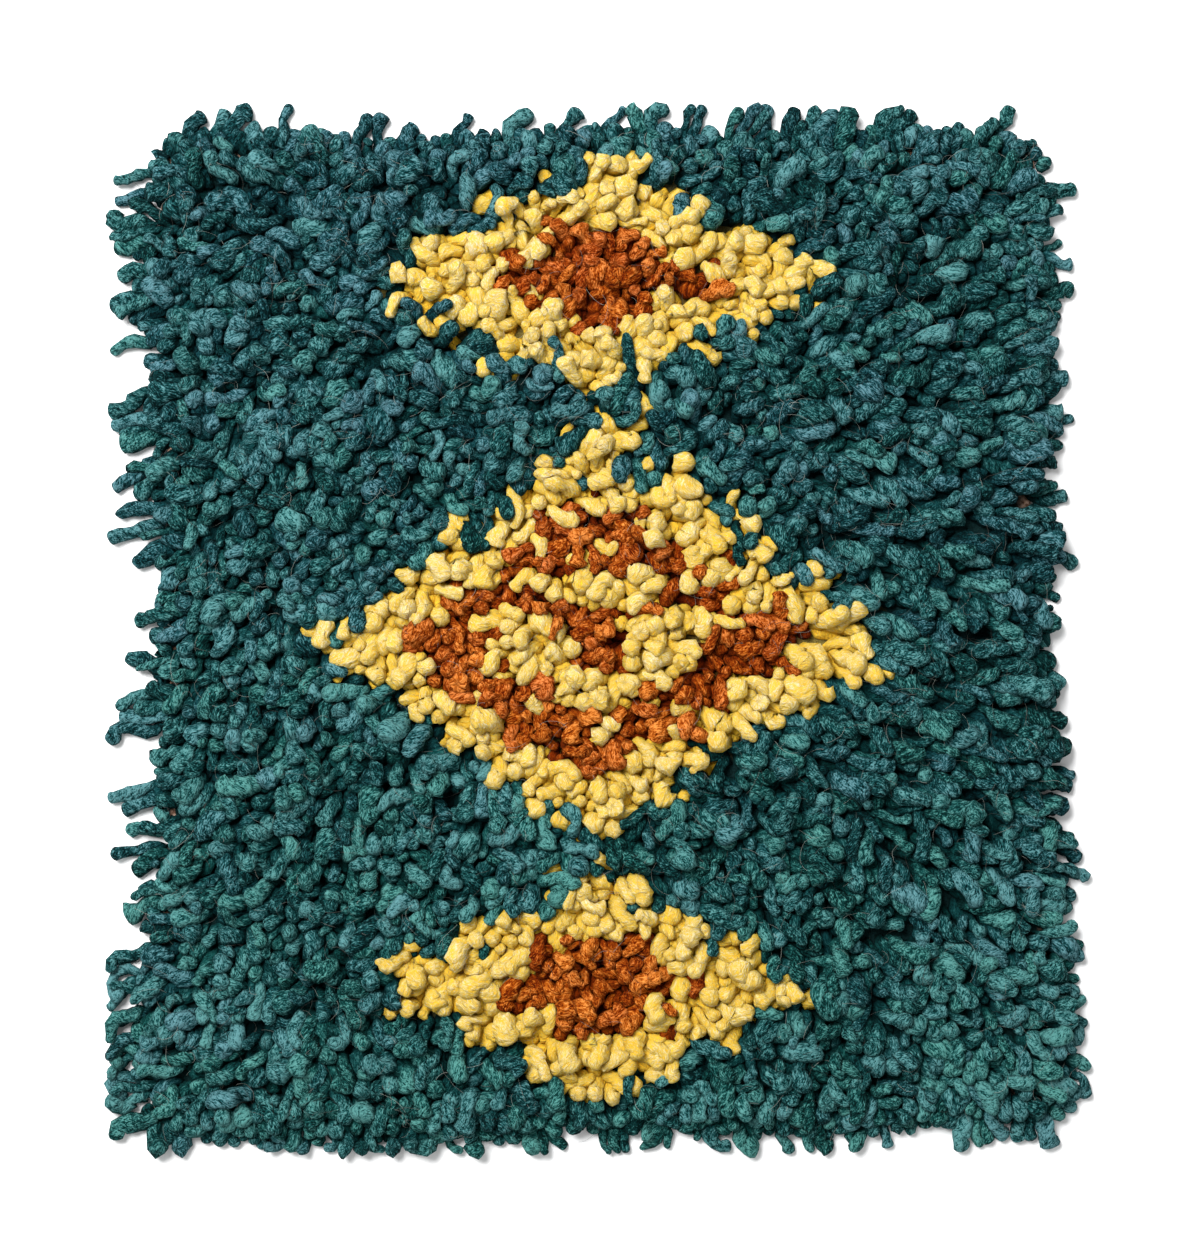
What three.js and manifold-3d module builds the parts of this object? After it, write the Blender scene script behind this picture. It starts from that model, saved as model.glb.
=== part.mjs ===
// Shag chair rug, lying flat, in millimetres with +Z up.
// A hand-knotted rug is one piece: thick wool locks tied row by row into a woven ground.
// It is modelled as one solid, a slab with a flat underside, tufts raised in its upper face,
// and single locks that stick out all round its rim.
// X runs across the rug and Y from its lower side to its upper one.
// The origin is on the floor, at the middle of the whole outline.
import * as THREE from 'three';
import { mergeVertices } from 'three/addons/utils/BufferGeometryUtils.js';
import Module from 'manifold-3d';

const wasm = await Module();
wasm.setup();

// Corners of the slab: hand weaving leaves the rug wider and longer at its lower side.
const CORNERS = {
  upperLeft: new THREE.Vector2(-225, 236),
  upperRight: new THREE.Vector2(221, 237),
  lowerRight: new THREE.Vector2(234, -247),
  lowerLeft: new THREE.Vector2(-233, -254),
};

// The four sides, going round clockwise.
// bulges says how far the slab's edge stands out of the straight line between its two corners,
// at even steps from one to the other.
// lean turns the side's locks from straight out, in degrees, positive anticlockwise.
// reach is how far a usual lock stands out of the slab, and longest its longest one,
// which stands at the share longestAt of the side.
const SIDES = {
  upper: {
    from: 'upperLeft', to: 'upperRight', bulges: [0, 6, -1, 4, 6, 3, 3, 6, 0],
    lean: -18, reach: 9, longest: 19, longestAt: 0.46,
  },
  right: {
    from: 'upperRight', to: 'lowerRight', bulges: [0, -2, -4, -7, -9, -7, -4, 0, 0],
    lean: -8, reach: 8, longest: 14, longestAt: 0.93,
  },
  lower: {
    from: 'lowerRight', to: 'lowerLeft', bulges: [0, 1, 5, 3, 0, 5, 4, 4, 0],
    lean: 4, reach: 8, longest: 12, longestAt: 0.94,
  },
  left: {
    from: 'lowerLeft', to: 'upperLeft', bulges: [0, 3, -6, -5, -5, -4, 0, 5, 0],
    lean: 14, reach: 13, longest: 22, longestAt: 0.27,
  },
};

// Heights of the slab above the floor
const TUFT_TOP = 25;
const TUFT_TOP_SPREAD = 3;
const DIP_IN_A_ROW = 20;
const DIP_BETWEEN_ROWS = 17.5;
const DIP_SPREAD = 2;
const RIM_HEIGHT = 14;

// Cells of the upper face: a row of tufts is two cells wide, and one tuft is three cells long.
const CELL_LENGTH = 9.5;
const CELL_WIDTH = 8.5;
const CELLS_A_TUFT = 3;
const POINT_SHIFT = 1.8;

// Locks at the rim
const LOCK_PITCH = 12.5;
const LOCK_ROOT_INSIDE = 10;
const LOCK_SIDES = 4;
const LOCK_STEPS = 3;
const LOCK_RADIUS = 6;
const LOCK_RADIUS_SPREAD = 1.1;
const LOCK_BULGE = 0.16;
const LOCK_TIP_SHARE = 0.62;
const LOCK_BOW = 0.14;
const LOCK_ROOT_HEIGHTS = [6, 13, 9];
const LOCK_TURN_SPREAD = 10;
const SHORTEST_REACH_SHARE = 0.5;
const CORNER_FAN = 32;
const CORNER_REACH = 45;

const WOOL_TEAL = '#2a5453';

// A number from 0 to 1 that looks random and is the same for the same seed
function vary(seed) {
  const s = Math.sin(seed * 127.1 + 31.7) * 43758.5453;
  return s - Math.floor(s);
}

// A number from -1 to 1, likewise
function sway(seed) {
  return 2 * vary(seed) - 1;
}

// A side of the slab as a smooth curve through its bulges
function sideCurve({ from, to, bulges }) {
  const run = CORNERS[to].clone().sub(CORNERS[from]);
  const out = new THREE.Vector2(-run.y, run.x).normalize();
  const stations = bulges.map((bulge, n) => CORNERS[from].clone()
    .addScaledVector(run, n / (bulges.length - 1))
    .addScaledVector(out, bulge));
  return new THREE.SplineCurve(stations);
}

const CURVES = {
  upper: sideCurve(SIDES.upper),
  right: sideCurve(SIDES.right),
  lower: sideCurve(SIDES.lower),
  left: sideCurve(SIDES.left),
};

// The point of the slab's plan at shares across and up, blended from its four sides
function planPoint(across, up) {
  const betweenEnds = CURVES.lower.getPoint(1 - across).lerp(CURVES.upper.getPoint(across), up);
  const betweenSides = CURVES.left.getPoint(up).lerp(CURVES.right.getPoint(1 - up), across);
  const lower = CORNERS.lowerLeft.clone().lerp(CORNERS.lowerRight, across);
  const upper = CORNERS.upperLeft.clone().lerp(CORNERS.upperRight, across);
  return betweenEnds.add(betweenSides).sub(lower.lerp(upper, up));
}

// Height of the upper face at a grid point: every other row of points is a row of tufts,
// which lie end to end with a dip between them, and each row starts at another place.
function pileHeight(column, row) {
  const spread = sway(column * 61 + row * 7);
  if (row % 2 === 0) return DIP_BETWEEN_ROWS + spread * DIP_SPREAD;
  const rowStart = Math.floor(vary(row) * CELLS_A_TUFT);
  const isDip = (column + rowStart) % CELLS_A_TUFT === 0;
  if (isDip) return DIP_IN_A_ROW + spread * DIP_SPREAD;
  return TUFT_TOP + spread * TUFT_TOP_SPREAD;
}

// The pile and its ground as one lumpy slab with a flat underside
function pileSlab() {
  const columns = Math.round((CORNERS.lowerRight.x - CORNERS.lowerLeft.x) / CELL_LENGTH);
  const rows = 2 * Math.round((CORNERS.upperLeft.y - CORNERS.lowerLeft.y) / (2 * CELL_WIDTH));
  const points = [];
  const faces = [];
  const at = (column, row) => row * (columns + 1) + column;

  for (let row = 0; row <= rows; row++) {
    for (let column = 0; column <= columns; column++) {
      const place = planPoint(column / columns, row / rows);
      const onRim = column === 0 || column === columns || row === 0 || row === rows;
      const seed = column * 83 + row * 13;
      const height = onRim ? RIM_HEIGHT + sway(seed) * DIP_SPREAD : pileHeight(column, row);
      const shift = onRim ? 0 : POINT_SHIFT;
      points.push(place.x + sway(seed + 0.3) * shift, place.y + sway(seed + 0.6) * shift, height);
    }
  }

  // Each cell is split along its higher diagonal, which keeps the tufts round.
  const heightAt = (n) => points[3 * n + 2];
  for (let row = 0; row < rows; row++) {
    for (let column = 0; column < columns; column++) {
      const [a, b] = [at(column, row), at(column + 1, row)];
      const [d, c] = [at(column, row + 1), at(column + 1, row + 1)];
      const isHigher = heightAt(a) + heightAt(c) > heightAt(b) + heightAt(d);
      if (isHigher) faces.push(a, b, c, a, c, d);
      else faces.push(a, b, d, b, c, d);
    }
  }

  // The rim's grid points, going round anticlockwise, and below them the same on the floor
  const rim = [];
  for (let column = 0; column < columns; column++) rim.push(at(column, 0));
  for (let row = 0; row < rows; row++) rim.push(at(columns, row));
  for (let column = columns; column > 0; column--) rim.push(at(column, rows));
  for (let row = rows; row > 0; row--) rim.push(at(0, row));
  const floorStart = points.length / 3;
  const outline = rim.map((n) => new THREE.Vector2(points[3 * n], points[3 * n + 1]));
  outline.forEach((place) => points.push(place.x, place.y, 0));
  rim.forEach((upper, n) => {
    const next = (n + 1) % rim.length;
    faces.push(floorStart + n, floorStart + next, rim[next]);
    faces.push(floorStart + n, rim[next], upper);
  });
  THREE.ShapeUtils.triangulateShape(outline, []).forEach(([a, b, c]) => {
    faces.push(floorStart + a, floorStart + c, floorStart + b);
  });

  const geometry = new THREE.BufferGeometry();
  geometry.setAttribute('position', new THREE.Float32BufferAttribute(points, 3));
  geometry.setIndex(faces);
  return geometry;
}

// One lock: a square-sided roving with a bulge and a blunt tip, which droops to lie level at its end
function rimLock(root, heading, { radius, length, rootHeight, seed }) {
  const geometry = new THREE.CylinderGeometry(1, 1, 1, LOCK_SIDES, LOCK_STEPS, false, Math.PI / 4);
  const points = geometry.attributes.position;
  const out = new THREE.Vector2(Math.cos(heading), Math.sin(heading));
  const aside = new THREE.Vector2(out.y, -out.x);
  const bow = sway(seed + 0.5) * LOCK_BOW * length;
  for (let n = 0; n < points.count; n++) {
    const along = points.getY(n) + 0.5;
    const bulge = 1 + LOCK_BULGE * Math.sin(along * 7 + seed);
    const thick = radius * bulge * THREE.MathUtils.lerp(1, LOCK_TIP_SHARE, along ** 3);
    const restHeight = thick * Math.SQRT1_2;
    const middleHeight = THREE.MathUtils.lerp(Math.max(rootHeight, restHeight), restHeight, along ** 1.5);
    const place = root.clone()
      .addScaledVector(out, along * length)
      .addScaledVector(aside, bow * along ** 2 + points.getX(n) * thick);
    points.setXYZ(n, place.x, place.y, middleHeight + points.getZ(n) * thick);
  }
  return geometry;
}

// How far the lock at a share along a side stands out of the slab
function lockReach(side, share, span, seed) {
  const isLongest = Math.abs(share - side.longestAt) * span < LOCK_PITCH / 2;
  if (isLongest) return side.longest;
  return side.reach * THREE.MathUtils.lerp(SHORTEST_REACH_SHARE, 2 - SHORTEST_REACH_SHARE, vary(seed));
}

// The locks of one side, fanned out towards its two corners
function sideLocks(name, sideNumber) {
  const side = SIDES[name];
  const curve = CURVES[name];
  const span = curve.getLength();
  const count = Math.round(span / LOCK_PITCH);
  const locks = [];
  for (let n = 0; n < count; n++) {
    const share = (n + 0.5) / count;
    const seed = sideNumber * 211 + n * 3;
    const toCorner = Math.min(share, 1 - share) * span;
    const fan = Math.max(0, 1 - toCorner / CORNER_REACH) * (share < 0.5 ? CORNER_FAN : -CORNER_FAN);
    const turn = side.lean + fan + sway(seed) * LOCK_TURN_SPREAD;
    const straightOut = CORNERS[side.to].clone().sub(CORNERS[side.from]).angle() + Math.PI / 2;
    const heading = straightOut + THREE.MathUtils.degToRad(turn);
    const out = new THREE.Vector2(Math.cos(heading), Math.sin(heading));
    const root = curve.getPoint(share).addScaledVector(out, -LOCK_ROOT_INSIDE);
    locks.push(rimLock(root, heading, {
      radius: LOCK_RADIUS + sway(seed + 0.2) * LOCK_RADIUS_SPREAD,
      length: LOCK_ROOT_INSIDE + lockReach(side, share, span, seed + 0.4),
      rootHeight: LOCK_ROOT_HEIGHTS[n % LOCK_ROOT_HEIGHTS.length],
      seed,
    }));
  }
  return locks;
}

// A closed geometry as a solid that can be joined
function solidOf(geometry) {
  geometry.deleteAttribute('normal');
  geometry.deleteAttribute('uv');
  const merged = mergeVertices(geometry, 1e-4);
  const vertProperties = new Float32Array(merged.attributes.position.array);
  const triVerts = new Uint32Array(merged.index.array);
  return new wasm.Manifold(new wasm.Mesh({ numProp: 3, vertProperties, triVerts }));
}

// A joined solid back as a geometry
function geometryOf(solid) {
  const { vertProperties, triVerts } = solid.getMesh();
  const geometry = new THREE.BufferGeometry();
  geometry.setAttribute('position', new THREE.BufferAttribute(vertProperties, 3));
  geometry.setIndex(new THREE.BufferAttribute(triVerts, 1));
  return geometry;
}

// The whole rug, moved so that the middle of its outline is over the origin
function shagRug() {
  const locks = Object.keys(SIDES).flatMap(sideLocks);
  const whole = locks.map(solidOf).reduce((joined, lock) => joined.add(lock), solidOf(pileSlab()));
  const geometry = geometryOf(whole);
  geometry.computeBoundingBox();
  const middle = geometry.boundingBox.getCenter(new THREE.Vector3());
  geometry.translate(-middle.x, -middle.y, 0);
  const wool = new THREE.MeshStandardMaterial({ color: WOOL_TEAL, roughness: 1, metalness: 0 });
  const mesh = new THREE.Mesh(geometry, wool);
  mesh.name = 'shag_rug';
  return mesh;
}

const rug = new THREE.Group();
rug.add(shagRug());

export default rug;
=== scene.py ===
"""Builds the looks of a hand-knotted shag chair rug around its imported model.

The pile is thick wool roving. Three locks come up from each knot of a woven ground, or fewer
where the pile is combed. They lie over in the way their part of the rug is brushed, and settle
against one another. Stray hairs lie on top. Everything is in metres, with X across the rug,
Y towards its upper side and Z up.
"""

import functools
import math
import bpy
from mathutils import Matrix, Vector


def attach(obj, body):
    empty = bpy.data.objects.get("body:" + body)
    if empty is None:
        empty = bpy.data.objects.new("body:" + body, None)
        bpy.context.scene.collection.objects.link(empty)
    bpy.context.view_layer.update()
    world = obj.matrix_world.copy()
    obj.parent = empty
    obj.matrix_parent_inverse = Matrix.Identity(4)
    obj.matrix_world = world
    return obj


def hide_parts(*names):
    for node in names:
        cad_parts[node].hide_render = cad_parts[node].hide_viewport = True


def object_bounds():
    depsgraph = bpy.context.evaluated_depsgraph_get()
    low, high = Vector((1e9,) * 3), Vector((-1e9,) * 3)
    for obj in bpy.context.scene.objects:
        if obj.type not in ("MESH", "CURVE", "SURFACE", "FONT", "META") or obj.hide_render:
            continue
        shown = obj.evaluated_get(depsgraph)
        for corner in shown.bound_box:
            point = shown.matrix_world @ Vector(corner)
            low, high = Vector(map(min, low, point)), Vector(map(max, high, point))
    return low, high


bl_info = {
    "name": "Shag chair rug",
    "version": (1, 0, 0),
    "blender": (4, 5, 0),
    "location": "View3D > Sidebar > Rug",
    "description": "Builds a hand-knotted shag chair rug of thick wool locks",
    "category": "Add Mesh",
}

from typing import NamedTuple

import bpy
import numpy as np

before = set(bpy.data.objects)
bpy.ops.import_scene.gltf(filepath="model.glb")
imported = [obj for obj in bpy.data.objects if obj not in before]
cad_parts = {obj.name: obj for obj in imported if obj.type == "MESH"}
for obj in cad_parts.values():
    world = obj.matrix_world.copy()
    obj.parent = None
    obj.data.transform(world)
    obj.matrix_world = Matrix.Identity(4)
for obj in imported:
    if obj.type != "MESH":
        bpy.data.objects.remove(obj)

CAD_NODE = "shag_rug"
CAD_BOX = [list(corner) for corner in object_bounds()]
BODY = "root"
MM = 0.001

# The plan of the knotted field: its corners, and how far each side stands out of the straight
# line between two of them at even steps, going round clockwise
CORNERS = {
    "upper_left": (-219.3, 240.4),
    "upper_right": (221.7, 241.4),
    "lower_right": (234.7, -242.6),
    "lower_left": (-226.3, -249.6),
}


class Side(NamedTuple):
    """One side of the rug. Locks lean from straight out by lean degrees, anticlockwise."""

    start: str
    end: str
    bulges: tuple
    lean: float
    reach: float
    finger_reach: float
    finger_share: float


SIDES = {
    "upper": Side("upper_left", "upper_right", (0, 6, -1, 4, 6, 3, 3, 6, 0), -18, 3, 19, 0.22),
    "right": Side("upper_right", "lower_right", (0, -2, -4, -7, -9, -7, -4, 0, 0), -10, 2, 15, 0.34),
    "lower": Side("lower_right", "lower_left", (0, 1, 5, 3, 0, 5, 4, 4, 0), 4, 3, 15, 0.3),
    "left": Side("lower_left", "upper_left", (0, 3, -6, -5, -5, -4, 0, 5, 0), 14, -4, 24, 0.5),
}


class Brushing(NamedTuple):
    """How the pile lies near one place: shares across and up, heading in degrees, and order."""

    across: float
    up: float
    heading: float
    order: float


BRUSHINGS = (
    Brushing(0.04, 0.96, 150, 0.7),
    Brushing(0.25, 0.97, 95, 0.8),
    Brushing(0.50, 0.97, 72, 0.8),
    Brushing(0.75, 0.97, 70, 0.8),
    Brushing(0.96, 0.96, 50, 0.7),
    Brushing(0.03, 0.70, 225, 0.85),
    Brushing(0.03, 0.35, 240, 0.85),
    Brushing(0.22, 0.75, 240, 0.75),
    Brushing(0.22, 0.45, 265, 0.86),
    Brushing(0.22, 0.18, 245, 0.85),
    Brushing(0.03, 0.04, 215, 0.8),
    Brushing(0.30, 0.03, 262, 0.9),
    Brushing(0.60, 0.03, 272, 0.9),
    Brushing(0.96, 0.04, 320, 0.8),
    Brushing(0.50, 0.18, 262, 0.6),
    Brushing(0.50, 0.50, 250, 0.45),
    Brushing(0.50, 0.80, 90, 0.3),
    Brushing(0.80, 0.80, 352, 0.95),
    Brushing(0.80, 0.50, 337, 0.97),
    Brushing(0.80, 0.18, 302, 0.96),
    Brushing(0.97, 0.70, 355, 0.93),
    Brushing(0.97, 0.35, 328, 0.93),
)
BRUSHING_REACH = 0.16
MOST_SCATTER = math.radians(95)

# The order from which a region counts as combed, and the further order at which it wholly is
COMBED_FROM = 0.86
COMBED_SPAN = 0.09


class Lozenge(NamedTuple):
    """One lozenge of the design, in millimetres, and the shares at which its bands change wool."""

    middle_y: float
    half_width: float
    half_height: float
    bands: tuple


LOZENGES = (
    Lozenge(172, 112, 60, ((0.5, "rust"), (1.0, "yellow"))),
    Lozenge(0, 142, 104, ((0.22, "rust"), (0.45, "yellow"), (0.71, "rust"), (1.0, "yellow"))),
    Lozenge(-172, 112, 60, ((0.5, "rust"), (1.0, "yellow"))),
)


class Wool(NamedTuple):
    """How one wool is spun: sizes in millimetres, and how far its marks stand out, as shares of
    a lock's radius."""

    thickness: float
    spread: float
    length: float
    ply_depth: float
    slub_depth: float
    slub_length: float
    puff_depth: float
    puff_size: float


WOOLS = {
    "teal": Wool(7.5, 0.22, 28, 0.32, 0.36, 8.5, 0.56, 4.2),
    "yellow": Wool(7.7, 0.18, 24, 0.10, 0.42, 5.0, 0.8, 4.0),
    "rust": Wool(7.1, 0.20, 23, 0.18, 0.46, 4.5, 1.0, 3.3),
}
LOCKS_A_KNOT = 3

# Each seed gives its own run of random draws.
PILE_SEED = 7
PUFF_SEED = 11
SLUB_SEED = 12
RIM_SEED = 13
HAIR_SEED = 41


def length_property(name, description, default):
    """A length that a user can change."""
    return bpy.props.FloatProperty(name=name, description=description, default=default, unit="LENGTH")


def colour_property(name, description, default):
    """A colour that a user can change."""
    return bpy.props.FloatVectorProperty(
        name=name, description=description, default=default, subtype="COLOR", size=3, min=0, max=1
    )


class RugSizes(bpy.types.PropertyGroup):
    """The sizes that a user would change."""

    knot_pitch: length_property("Knot pitch", "Distance between knots in a row", 10.4 * MM)
    row_pitch: length_property("Row pitch", "Distance between rows of knots", 16.5 * MM)
    pile_height: length_property("Pile height", "Height of the settled pile above the floor", 27 * MM)
    ground_thickness: length_property("Ground thickness", "Thickness of the woven ground", 2.4 * MM)
    stray_hairs: bpy.props.IntProperty(
        name="Stray hairs", description="Number of loose hairs on the pile", default=1500, min=0
    )


class RugColours(bpy.types.PropertyGroup):
    """The colours of the wools and of the ground."""

    teal: colour_property("Teal wool", "Colour of the field's wool", (0.0110, 0.0508, 0.0520))
    yellow: colour_property("Yellow wool", "Colour of the lozenges' light bands", (0.402, 0.306, 0.076))
    rust: colour_property("Rust wool", "Colour of the lozenges' dark bands", (0.234, 0.0670, 0.0066))
    ground: colour_property("Ground yarn", "Colour of the woven ground", (0.36, 0.25, 0.19))
    pale_hair: colour_property("Pale hair", "Colour of the palest stray hairs", (0.36, 0.38, 0.34))
    dark_hair: colour_property("Dark hair", "Colour of the darkest stray hairs", (0.022, 0.017, 0.014))


class Locks(NamedTuple):
    """Every lock of the settled pile, as a chain of balls from its knot to its tip."""

    balls: np.ndarray
    radii: np.ndarray
    wools: np.ndarray


BALLS = 7
SETTLING_ROUNDS = 90
SINKING = 0.14 * MM

# Shares of their radii at which locks press on one another, at first and what is added by the
# end, and at which they rest on the ground
SOFTNESS = 0.78
FIRMING = 0.1
FLATTENED = 0.9

# The mean size of the knotted field
FIELD_WIDTH = 451 * MM
FIELD_LENGTH = 487 * MM

# Locks within the inset of the rim lie wholly as rim locks do, and over the next width partly.
RIM_INSET = 6 * MM
RIM_WIDTH = 14 * MM
FINGER_NEARNESS = 0.8

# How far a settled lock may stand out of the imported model's box
LOOSE_MARGIN = 1 * MM


def through(points, at):
    """Smooth curves through points, shape (..., K, D), read at the positions at, in steps."""
    last = points.shape[-2] - 1
    start = np.clip(np.floor(at).astype(int), 0, last - 1)
    t = (at - start)[:, None]
    before = points[..., np.maximum(start - 1, 0), :]
    near = points[..., start, :]
    far = points[..., start + 1, :]
    after = points[..., np.minimum(start + 2, last), :]
    cubic = 3 * (near - far) + after - before
    square = 2 * before - 5 * near + 4 * far - after
    return near + 0.5 * t * (far - before + t * (square + t * cubic))


def side_curve(side, share):
    """Points of one side of the field at shares from its start to its end."""
    start, end = np.array(CORNERS[side.start]), np.array(CORNERS[side.end])
    run = end - start
    out = np.array((-run[1], run[0])) / np.hypot(*run)
    steps = np.linspace(0, 1, len(side.bulges))[:, None]
    stations = start + steps * run + np.array(side.bulges)[:, None] * out
    return through(stations, np.asarray(share) * (len(side.bulges) - 1)) * MM


def plan_point(across, up):
    """Points of the field at shares across and up, blended from its four sides."""
    corner = {name: np.array(place) * MM for name, place in CORNERS.items()}
    u, v = across[:, None], up[:, None]
    ends = side_curve(SIDES["lower"], 1 - across) * (1 - v) + side_curve(SIDES["upper"], across) * v
    sides = side_curve(SIDES["left"], up) * (1 - u) + side_curve(SIDES["right"], 1 - up) * u
    lower = corner["lower_left"] * (1 - u) + corner["lower_right"] * u
    upper = corner["upper_left"] * (1 - u) + corner["upper_right"] * u
    return ends + sides - lower * (1 - v) - upper * v


def wool_at(places):
    """The wool of the knots at places: the lozenges' bands, on a field of teal."""
    wools = np.full(len(places), "teal", dtype="<U6")
    for lozenge in LOZENGES:
        x, y = places[:, 0] / MM, places[:, 1] / MM - lozenge.middle_y
        depth = np.abs(x) / lozenge.half_width + np.abs(y) / lozenge.half_height
        inner = 0
        for outer, wool in lozenge.bands:
            wools[(depth >= inner) & (depth < outer)] = wool
            inner = outer
    return wools


def brushed_heading(across, up, rng):
    """The way each lock lies over, in radians, and how well its region is combed, from 0 to 1."""
    pull = np.zeros((len(across), 2))
    total = np.zeros(len(across))
    for brushing in BRUSHINGS:
        away = np.hypot(across - brushing.across, up - brushing.up) / BRUSHING_REACH
        weight = np.exp(-(away**2))
        heading = math.radians(brushing.heading)
        pull += brushing.order * weight[:, None] * (math.cos(heading), math.sin(heading))
        total += weight
    pull /= total[:, None]
    order = np.clip(np.hypot(*pull.T), 0, 1)
    scatter = rng.normal(0, 1, len(across)) * (1 - order) * MOST_SCATTER
    combed = np.clip((order - COMBED_FROM) / COMBED_SPAN, 0, 1)
    return np.arctan2(pull[:, 1], pull[:, 0]) + scatter, combed


def near_pairs(places, reach):
    """Every pair of places within reach of each other, as two arrays of their numbers."""
    cell = np.floor(places / reach).astype(np.int64)
    cell -= cell.min(axis=0) - 1
    span = cell.max(axis=0) + 2
    key = (cell[:, 0] * span[1] + cell[:, 1]) * span[2] + cell[:, 2]
    order = np.argsort(key, kind="stable")
    key = key[order]
    number = np.arange(len(key))
    firsts, seconds = [], []
    for x, y, z in np.ndindex(3, 3, 3):
        shift = ((x - 1) * span[1] + (y - 1)) * span[2] + (z - 1)
        if shift < 0:
            continue
        start = number + 1 if shift == 0 else np.searchsorted(key, key + shift, "left")
        stop = np.searchsorted(key, key + shift, "right")
        count = stop - start
        first = np.repeat(number, count)
        nth = np.arange(count.sum()) - np.repeat(np.cumsum(count) - count, count)
        firsts.append(order[first])
        seconds.append(order[np.repeat(start, count) + nth])
    a, b = np.concatenate(firsts), np.concatenate(seconds)
    close = ((places[a] - places[b]) ** 2).sum(axis=1) < reach**2
    return a[close], b[close]


# A ball pressed by many others moves by this many of their pushes.
PUSH_SHARE = 1.6


def push_apart(balls, radii, pairs, softness):
    """Moves balls of different locks out of one another, each by its share."""
    a, b = pairs
    gap = balls[b] - balls[a]
    distance = np.sqrt((gap**2).sum(axis=1)) + 1e-9
    overlap = (radii[a] + radii[b]) * softness - distance
    pressed = overlap > 0
    a, b = a[pressed], b[pressed]
    push = gap[pressed] * (0.5 * overlap[pressed] / distance[pressed])[:, None]
    count = np.bincount(a, minlength=len(balls)) + np.bincount(b, minlength=len(balls))
    share = PUSH_SHARE / np.maximum(count, PUSH_SHARE)
    for axis in range(3):
        moved = np.bincount(b, push[:, axis], len(balls)) - np.bincount(a, push[:, axis], len(balls))
        balls[:, axis] += moved * share


class LengthRule(NamedTuple):
    """A distance, in spans, that balls a few places apart keep, and how fast they go back to it."""

    skip: int
    spans: float
    share: float
    may_stretch: bool


LENGTH_RULES = (LengthRule(1, 1, 0.5, False), LengthRule(2, 1.75, 0.3, True))


def keep_lengths(balls, spans):
    """Brings the balls of each lock back to their distances, and keeps it from folding up."""
    for rule in LENGTH_RULES:
        gap = balls[:, rule.skip:] - balls[:, :-rule.skip]
        distance = np.sqrt((gap**2).sum(axis=2, keepdims=True)) + 1e-9
        wanted = spans[:, None, None] * rule.spans
        error = (distance - wanted) / distance
        if rule.may_stretch:
            error = np.minimum(error, 0)
        move = gap * error * rule.share
        balls[:, :-rule.skip] += move
        balls[:, rule.skip:] -= move


# Combed wool stays more in its rows: the share by which it goes back to them in each round
ROW_HOLD = 0.1

# A lock is thinner where it comes out of its knot.
ROOT_PROFILE = np.array((0.6, 0.8, 0.95, 1, 1, 1, 1))

# Neighbours are looked for within this many radii, and again after this many rounds.
NEIGHBOUR_REACH = 2.3
NEIGHBOUR_ROUNDS = 6


def settle(balls, radii, spans, combed, pile_height):
    """Lets the locks sink, press on one another and come to rest between floor and pile top."""
    rows = balls[..., :2].copy()
    hold = ROW_HOLD * combed[:, None, None]
    locks = len(balls)
    knots = balls[:, 0].copy()
    flat_radii = np.repeat(radii[:, None], BALLS, axis=1) * ROOT_PROFILE
    lock_number = np.repeat(np.arange(locks), BALLS)
    reach = NEIGHBOUR_REACH * radii.max()
    least, most = np.array(CAD_BOX)[:, :2] + np.array(((-1,), (1,))) * LOOSE_MARGIN
    for step in range(SETTLING_ROUNDS):
        late = step / SETTLING_ROUNDS
        balls[:, 2:, 2] -= SINKING * (1 - late)
        flat = balls.reshape(-1, 3)
        if step % NEIGHBOUR_ROUNDS == 0:
            a, b = near_pairs(flat, reach)
            apart = lock_number[a] != lock_number[b]
            pairs = a[apart], b[apart]
        push_apart(flat, flat_radii.ravel(), pairs, SOFTNESS + FIRMING * late)
        balls = flat.reshape(locks, BALLS, 3)
        balls[..., :2] += (rows - balls[..., :2]) * hold
        for _ in range(2):
            keep_lengths(balls, spans)
            balls[:, 0] = knots
        balls[..., 2] = np.maximum(balls[..., 2], flat_radii * FLATTENED)
        balls[..., 2] = np.minimum(balls[..., 2], pile_height - flat_radii)
        balls[..., :2] = np.clip(balls[..., :2], least + radii[:, None, None], most - radii[:, None, None])
        balls[:, 0] = knots
    return balls


# Each side's locks are longer and shorter by turns, about this many times, and by this share.
UNEVEN_STRETCHES = 14
UNEVENNESS = 0.9


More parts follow.
